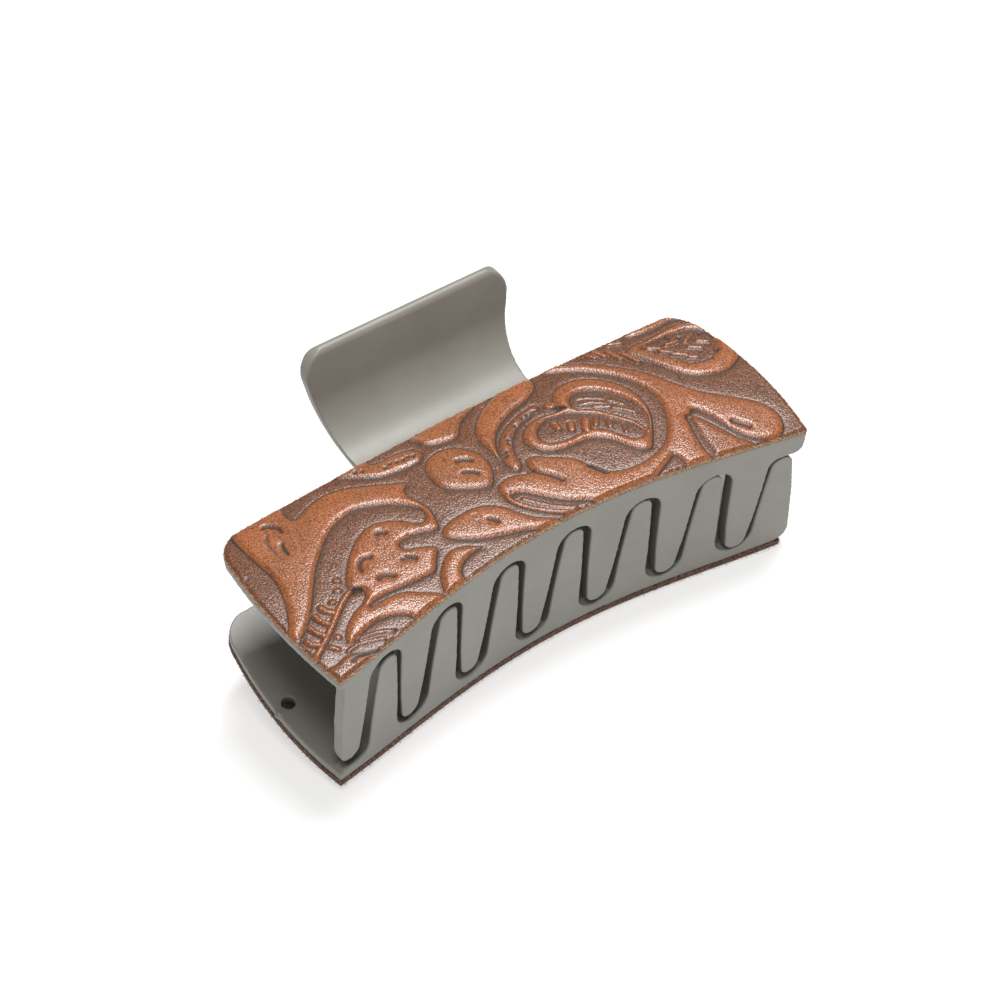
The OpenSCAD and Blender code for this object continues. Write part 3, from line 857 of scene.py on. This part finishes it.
class Recipe:
    """A Geometry Nodes tree with named inputs."""

    def __init__(self, name, **inputs):
        self.tree = bpy.data.node_groups.new(name, "GeometryNodeTree")
        kinds = {"Geometry": "NodeSocketGeometry"} | inputs
        self.sockets = {}
        interface = self.tree.interface
        for label, kind in kinds.items():
            self.sockets[label] = interface.new_socket(label, in_out="INPUT", socket_type=kind)
        interface.new_socket("Geometry", in_out="OUTPUT", socket_type="NodeSocketGeometry")
        self.entry = self.tree.nodes.new("NodeGroupInput")
        self.exit = self.tree.nodes.new("NodeGroupOutput")

    def input(self, label):
        return self.entry.outputs[label]

    def node(self, kind, settings, values):
        return add_node(self.tree, kind, settings, values)

    def tube(self, path, sides, radius):
        """A round section swept along a curve, with both ends closed."""
        section = {"Resolution": sides, "Radius": radius}
        profile = self.node("GeometryNodeCurvePrimitiveCircle", {}, section)[0]
        values = {"Curve": path, "Profile Curve": profile, "Fill Caps": True}
        return self.node("GeometryNodeCurveToMesh", {}, values)[0]

    def finish(self, geometry):
        real = self.node("GeometryNodeRealizeInstances", {}, {"Geometry": geometry})[0]
        values = {"Geometry": real, "Material": self.input("Material")}
        painted = self.node("GeometryNodeSetMaterial", {}, values)[0]
        self.tree.links.new(painted, self.exit.inputs[0])

    def grow(self, made, **values):
        """Runs the tree on the object with the given inputs, and keeps the result as a plain mesh."""
        modifier = made.modifiers.new(self.tree.name, "NODES")
        modifier.node_group = self.tree
        for label, value in values.items():
            modifier[self.sockets[label].identifier] = value
        plain_mesh(made)
        face_outward(made.data)
        made.data.shade_smooth()
        return made


def drawn_wire():
    """A round wire along a line."""
    recipe = Recipe(
        "drawn_wire", Radius="NodeSocketFloat", Sides="NodeSocketInt", Material="NodeSocketMaterial",
    )
    path = recipe.node("GeometryNodeMeshToCurve", {}, {"Mesh": recipe.input("Geometry")})[0]
    recipe.finish(recipe.tube(path, recipe.input("Sides"), recipe.input("Radius")))
    return recipe


def frayed_edge():
    """Short bent fibres along a line, each leaning out from the cut side of the leather."""
    recipe = Recipe(
        "frayed_edge", Length="NodeSocketFloat", Thickness="NodeSocketFloat", Spacing="NodeSocketFloat",
        Spread="NodeSocketFloat", Seed="NodeSocketInt", Material="NodeSocketMaterial",
    )
    line = recipe.node("GeometryNodeMeshToCurve", {}, {"Mesh": recipe.input("Geometry")})[0]
    values = {"Curve": line, "Length": recipe.input("Spacing")}
    spaced = recipe.node("GeometryNodeResampleCurve", {"mode": "LENGTH"}, values)[0]
    settings = {"data_type": "FLOAT_VECTOR"}
    outward = recipe.node("GeometryNodeInputNamedAttribute", settings, {"Name": "outward"})[0]
    values = {"Min": (-1, -1, -1), "Max": (1, 1, 1), "Seed": recipe.input("Seed")}
    chance = recipe.node("FunctionNodeRandomValue", settings, values)[0]
    values = {0: chance, "Scale": recipe.input("Spread")}
    stray = recipe.node("ShaderNodeVectorMath", {"operation": "SCALE"}, values)[0]
    lean = recipe.node("ShaderNodeVectorMath", {"operation": "ADD"}, {0: outward, 1: stray})[0]
    turn = recipe.node("FunctionNodeAlignRotationToVector", {"axis": "Z"}, {"Vector": lean})[0]
    fibre = recipe.node("GeometryNodeCurvePrimitiveBezierSegment", {}, {
        "Resolution": 4, "Start": (0, 0, -0.2), "Start Handle": (0, 0, 0.1),
        "End Handle": (0.3, 0, 0.7), "End": (0.45, 0.1, 0.8),
    })[0]
    hair = recipe.tube(fibre, 3, recipe.input("Thickness"))
    values = {2: 0.35, 3: 1.0, "Seed": recipe.input("Seed")}
    share = recipe.node("FunctionNodeRandomValue", {"data_type": "FLOAT"}, values)[1]
    values = {0: share, 1: recipe.input("Length")}
    size = recipe.node("ShaderNodeMath", {"operation": "MULTIPLY"}, values)[0]
    values = {"Points": spaced, "Instance": hair, "Rotation": turn, "Scale": size}
    recipe.finish(recipe.node("GeometryNodeInstanceOnPoints", {}, values)[0])
    return recipe


def torsion_spring():
    """One wire: a leg under the upper tab, the coil round the pin and a leg on the lower tab."""
    reach = math.hypot(leg_end_y - hinge_depth, leg_end_z)
    leave = math.atan2(leg_end_z, leg_end_y - hinge_depth) + math.acos(coil_radius / reach)
    sweep = 2 * math.pi * (coil_turns + 1) - 2 * leave
    half = coil_pitch * sweep / (2 * math.pi) / 2
    leave_y, leave_z = hinge_depth + coil_radius * math.cos(leave), coil_radius * math.sin(leave)
    path = []
    for t in np.linspace(0, leg_share, leg_points):
        path.append((half, leg_end_y + (leave_y - leg_end_y) * t, leg_end_z + (leave_z - leg_end_z) * t))
    for k in range(coil_steps * coil_turns + 1):
        t = k / (coil_steps * coil_turns)
        a = leave + sweep * t
        y, z = hinge_depth + coil_radius * math.cos(a), coil_radius * math.sin(a)
        path.append((half * (1 - 2 * t), y, z))
    path += [(-x, y, -z) for x, y, z in reversed(path[:leg_points])]
    made = line_object("torsion_spring", lay_down(*np.array(path).T))
    steel = drawn_steel("spring_wire", (0.6, 0.6, 0.58, 1))
    drawn_wire().grow(made, Radius=wire_radius * MM, Sides=wire_sides, Material=steel)
    inner, outer = lay_down(np.array([-half, half]), np.array([hinge_depth] * 2), np.array([0.0, 0.0]))
    return made, inner, outer


def pivot_pin():
    """The hinge pin, with its ends turned to a shallow dome."""
    profile = [
        (-pin_half, 0.02), (-pin_half, 0.55), (-pin_half + 0.1, 0.85), (-pin_half + 0.35, pin_radius),
    ]
    profile += [(-x, r) for x, r in reversed(profile)]
    points = []
    faces = []
    for k, (x, r) in enumerate(profile):
        for j in range(pin_sides):
            a = 2 * math.pi * j / pin_sides
            points.append((x, hinge_depth + r * math.cos(a), r * math.sin(a)))
        if k:
            base = k * pin_sides
            for j in range(pin_sides):
                n = (j + 1) % pin_sides
                faces.append([base - pin_sides + j, base - pin_sides + n, base + n, base + j])
    faces.append(list(range(pin_sides)))
    faces.append(list(range(len(points) - pin_sides, len(points))))
    mesh = bpy.data.meshes.new("pivot_pin")
    mesh.from_pydata([tuple(p) for p in lay_down(*np.array(points).T)], [], faces)
    face_outward(mesh)
    mesh.shade_smooth()
    return add_object("pivot_pin", mesh)


# Shader maths


class Socket:
    """A node's output that takes part in Python arithmetic."""

    def __init__(self, finish, output):
        self.finish = finish
        self.output = output

    def sum_with(self, operation, first, second):
        return self.finish.node("ShaderNodeMath", {"operation": operation}, {0: first, 1: second})[0]

    def __add__(self, other):
        return self.sum_with("ADD", self, other)

    def __radd__(self, other):
        return self.sum_with("ADD", other, self)

    def __sub__(self, other):
        return self.sum_with("SUBTRACT", self, other)

    def __rsub__(self, other):
        return self.sum_with("SUBTRACT", other, self)

    def __mul__(self, other):
        return self.sum_with("MULTIPLY", self, other)

    def __rmul__(self, other):
        return self.sum_with("MULTIPLY", other, self)


class Finish:
    """A material with its node tree."""

    def __init__(self, name, **constants):
        self.material = bpy.data.materials.new(name)
        self.material.use_nodes = True
        self.tree = self.material.node_tree
        self.shader = self.tree.nodes["Principled BSDF"]
        for label, value in constants.items():
            self.shader.inputs[label.replace("_", " ")].default_value = value

    def node(self, kind, settings, values):
        plain = {k: v.output if isinstance(v, Socket) else v for k, v in values.items()}
        return [Socket(self, output) for output in add_node(self.tree, kind, settings, plain)]

    def place(self):
        return self.node("ShaderNodeTexCoord", {}, {})[3]

    def value_of(self, attribute):
        return self.node("ShaderNodeAttribute", {"attribute_name": attribute}, {})[2]

    def grain(self, place, size, detail=2.0, roughness=0.5):
        """Cloudy noise of a size in millimetres."""
        values = {"Vector": place, "Scale": 1 / (size * MM), "Detail": detail, "Roughness": roughness}
        return self.node("ShaderNodeTexNoise", {}, values)[0]

    def cells(self, place, size):
        """Distance to the nearest cell middle, for cells of a size in millimetres."""
        return self.node("ShaderNodeTexVoronoi", {}, {"Vector": place, "Scale": 1 / (size * MM)})[0]

    def spread(self, value, low, high, to_low=0.0, to_high=1.0):
        """The value's range from low to high, stretched to another range and held at its ends."""
        values = {"Value": value, "From Min": low, "From Max": high, "To Min": to_low, "To Max": to_high}
        return self.node("ShaderNodeMapRange", {}, values)[0]

    def blend(self, share, first, second):
        """A colour between two, by share."""
        return self.node("ShaderNodeMix", {"data_type": "RGBA"}, {0: share, 6: first, 7: second})[2]

    def feed(self, label, value):
        self.tree.links.new(value.output, self.shader.inputs[label])

    def bump(self, height, distance):
        values = {"Height": height, "Distance": distance * MM, "Strength": 1.0}
        self.feed("Normal", self.node("ShaderNodeBump", {}, values)[0])


def leather_finish(name, ground_pair, tan_pair, deep, fibre_pair):
    """Tooled leather with an antique finish: dark in the ground and cuts, tan where it stands up."""
    made = Finish(name, Specular_IOR_Level=0.74, Coat_Roughness=0.28)
    place = made.place()
    raised = made.value_of("raised")
    cut = made.value_of("cut")
    side = made.value_of("cut_side")
    cloud = made.grain(place, 7, 3)
    speck = made.grain(place, 0.42, 3, 0.7)
    pebble = made.cells(place, 0.39)
    stipple = made.cells(place, 0.75)
    lot = made.spread(speck, 0.3, 0.7)
    ground = made.blend(lot, *ground_pair)
    tan = made.blend(lot, *tan_pair)
    tan = made.blend(made.spread(cloud, 0.35, 0.7, 0, 0.6), tan, ground_pair[1])
    colour = made.blend(made.spread(raised, 0.2, 0.85), ground, tan)
    # Dark dye in the cuts, together with the painted shade on the ramp beside each cut
    colour = made.blend(made.spread(cut, 0.08, 0.7, 0, 0.96), colour, deep)
    colour = made.blend(made.spread(pebble, 0.35, 0.75, 0, 0.5), colour, deep)
    fibre = made.blend(made.spread(made.grain(place, 0.42, 3, 0.75), 0.45, 0.7), *fibre_pair)
    colour = made.blend(side, colour, fibre)
    made.feed("Base Color", colour)
    made.feed("Roughness", 0.27 + 0.12 * speck - 0.04 * raised + 0.4 * side + 0.42 * cut)
    made.feed("Coat Weight", 0.05 * (1 - side) * (1 - cut))
    hide = 1.0 - 1.1 * pebble + 0.2 * speck - 0.3 * stipple * (1 - raised)
    height = hide * (1 - side) + 1.8 * side * made.grain(place, 0.22, 3, 0.75)
    made.bump(height, 0.055)
    return made.material


def tooled_leather():
    return leather_finish(
        "tooled_leather",
        ((0.076, 0.025, 0.01, 1), (0.238, 0.088, 0.035, 1)),
        ((0.256, 0.073, 0.019, 1), (0.464, 0.153, 0.051, 1)),
        (0.022, 0.008, 0.004, 1),
        ((0.2, 0.08, 0.035, 1), (0.7, 0.46, 0.27, 1)),
    )


# The lower panel's leather: the tooled leather with darker colours, most of all on its cut side, as painted
# shade on the panel that faces the floor
def dark_leather():
    return leather_finish(
        "shade_darkened_leather",
        ((0.07, 0.028, 0.017, 1), (0.16, 0.07, 0.042, 1)),
        ((0.24, 0.075, 0.026, 1), (0.38, 0.135, 0.058, 1)),
        (0.02, 0.008, 0.005, 1),
        ((0.024, 0.009, 0.006, 1), (0.38, 0.2, 0.12, 1)),
    )


def leather_fibre(name, dark, pale):
    """Loose fibres of the cut leather."""
    made = Finish(name, Specular_IOR_Level=0.2)
    place = made.place()
    share = made.spread(made.grain(place, 0.6, 3, 0.7), 0.35, 0.65)
    made.feed("Base Color", made.blend(share, dark, pale))
    made.feed("Roughness", 0.75 + 0.2 * made.grain(place, 0.3))
    made.bump(made.grain(place, 0.1), 0.01)
    return made.material


def moulded_plastic():
    """Matt grey-green plastic with the fine texture of its mould, and painted shade on the narrow sides of
    the teeth.
    """
    made = Finish("moulded_plastic", Specular_IOR_Level=0.65)
    place = made.place()
    cloud = made.grain(place, 14, 3)
    fine = made.grain(place, 0.35, 3, 0.6)
    smudge = made.grain(place, 4, 3, 0.6)
    base = made.blend(made.spread(cloud, 0.3, 0.7), (0.2, 0.19, 0.162, 1), (0.235, 0.225, 0.195, 1))
    base = made.blend(made.spread(smudge, 0.5, 0.75, 0, 0.3), base, (0.188, 0.176, 0.148, 1))
    base = made.blend(made.spread(fine, 0.25, 0.75, 0, 0.25), base, (0.203, 0.197, 0.17, 1))
    # Painted shade: the narrow side faces of the teeth are darkened as the gaps between them lie in shade
    base = made.blend(0.7 * made.value_of("seam_shade"), base, (0.05, 0.043, 0.032, 1))
    made.feed("Base Color", base)
    made.feed("Roughness", 0.4 + 0.14 * fine)
    made.bump(fine + 1.5 * made.grain(place, 2.5, 2), 0.012)
    return made.material


def drawn_steel(name, tint):
    """Drawn steel wire with fine lines and a little haze."""
    made = Finish(name, Metallic=1.0)
    place = made.place()
    haze = made.grain(place, 1.2, 3)
    line = made.grain(place, 0.18, 2)
    made.feed("Base Color", made.blend(haze, tint, tuple(0.75 * c for c in tint[:3]) + (1,)))
    made.feed("Roughness", 0.26 + 0.22 * haze)
    made.bump(line, 0.008)
    return made.material


def pale_floor():
    """White light table, a little brighter away from the object."""
    made = Finish("pale_floor", Roughness=0.75, Specular_IOR_Level=0.2, Emission_Strength=1)
    place = made.place()
    cloud = made.grain(place, 60, 2)
    made.feed("Base Color", made.blend(cloud, (0.44, 0.435, 0.43, 1), (0.46, 0.455, 0.45, 1)))
    away = made.node("ShaderNodeVectorMath", {"operation": "LENGTH"}, {0: place})[1]
    far = made.spread(away, 0.5, 1.4)
    made.feed("Emission Color", made.blend(far, (0.6, 0.6, 0.6, 1), (0.9, 0.9, 0.9, 1)))
    return made.material


# Camera

camera_azimuth = math.radians(-32.801)
camera_elevation = math.radians(38.782)
camera_roll = math.radians(-5.684)
camera_at = Vector((-0.21378, -0.33794, 0.34482))
camera_data = bpy.data.cameras.new("camera")
camera_data.sensor_width = 36
camera_data.lens = 98.11
camera_data.clip_start = 0.01
camera_data.clip_end = 20
camera = add_object("camera", camera_data)
looking_back = Vector((
    math.sin(camera_azimuth) * math.cos(camera_elevation),
    -math.cos(camera_azimuth) * math.cos(camera_elevation),
    math.sin(camera_elevation),
))
camera.rotation_mode = "QUATERNION"
camera.location = camera_at
level_turn = (-looking_back).to_track_quat("-Z", "Y")
camera.rotation_quaternion = level_turn @ Quaternion((0, 0, 1), camera_roll)
bpy.context.scene.camera = camera


# Floor and light

floor_reach = 14.0
floor_gap = 0.00002


def add_floor():
    mesh = bpy.data.meshes.new("floor")
    r = floor_reach
    mesh.from_pydata([(-r, -r, 0), (r, -r, 0), (r, r, 0), (-r, r, 0)], [], [(0, 1, 2, 3)])
    made = add_object("floor", mesh)
    mesh.materials.append(pale_floor())
    made.location.z = -floor_gap


def softbox(name, at, width, height, power):
    """A studio light turned to the middle of the floor."""
    data = bpy.data.lights.new(name, "AREA")
    data.shape = "RECTANGLE"
    data.size = width
    data.size_y = height
    data.energy = power
    made = add_object(name, data)
    made.location = at
    made.rotation_euler = (-Vector(at)).to_track_quat("-Z", "Y").to_euler()


def add_light():
    softbox("overhead_softbox", (0.27, -0.02, 1.16), 0.4, 0.45, 14.8)
    softbox("front_softbox", (-0.24, -0.5, 1.05), 0.32, 0.26, 5.1)
    world = bpy.data.worlds.new("studio")
    world.use_nodes = True
    sky = world.node_tree.nodes["Background"].inputs
    sky["Color"].default_value = (1, 1, 1, 1)
    sky["Strength"].default_value = 0.22
    bpy.context.scene.world = world
    bpy.context.scene.view_settings.view_transform = "Standard"


# Assembly

plastic = moulded_plastic()
jaws = (("upper_shell", "upper_jaw", "upper"), ("lower_shell", "lower_jaw", "lower"))
for piece_name, node, body in jaws:
    shell = moulded_jaw(piece_name, node)
    shell.data.materials.append(plastic)
    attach(shell, body)
    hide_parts(node)

upper_facing = leather_panel(
    "upper_facing", upper_side, thickness=1.4, flip=False, level=0.6, share_of_depth=1.0,
    rim_depth=0.4, roll_over=0.42, short=0, seed=1.0,
)
upper_facing.data.materials.append(tooled_leather())
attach(upper_facing, "upper")
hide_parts("upper_leather")

lower_facing = leather_panel(
    "lower_facing", lower_side, thickness=1.6, flip=True, level=1.35, share_of_depth=0.4,
    rim_depth=0, roll_over=0.05, short=1.5, seed=21.0,
)
lower_facing.data.materials.append(dark_leather())
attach(lower_facing, "lower")
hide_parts("lower_leather")

fray = frayed_edge()
fibre_sizes = {"Length": 0.7 * MM, "Thickness": 0.06, "Spacing": 0.36 * MM, "Spread": 0.9}
upper_fibres = edge_fibres(
    "upper_edge_fibres", upper_side, (0.25, 0.6, 0.9), 0, fray, Seed=3,
    Material=leather_fibre("pale_fibre", (0.3, 0.13, 0.06, 1), (0.8, 0.58, 0.38, 1)), **fibre_sizes,
)
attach(upper_fibres, "upper")
# The lower panel's fibres are coloured far darker than the upper ones: painted shade
lower_fibres = edge_fibres(
    "lower_edge_fibres", lower_side, (0.1, 0.5, 0.9, 1.3), 1.5, fray, Seed=8,
    Material=leather_fibre("shade_darkened_fibre", (0.035, 0.012, 0.007, 1), (0.4, 0.2, 0.11, 1)), **fibre_sizes,
)
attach(lower_fibres, "lower")

spring, spring_low, spring_high = torsion_spring()
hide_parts("spring")
tuple(spring_low)
tuple(spring_high)
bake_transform(spring)

pin = pivot_pin()
pin.data.materials.append(drawn_steel("pin_steel", (0.62, 0.62, 0.6, 1)))
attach(pin, "lower")
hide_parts("hinge_pin")

add_floor()
add_light()
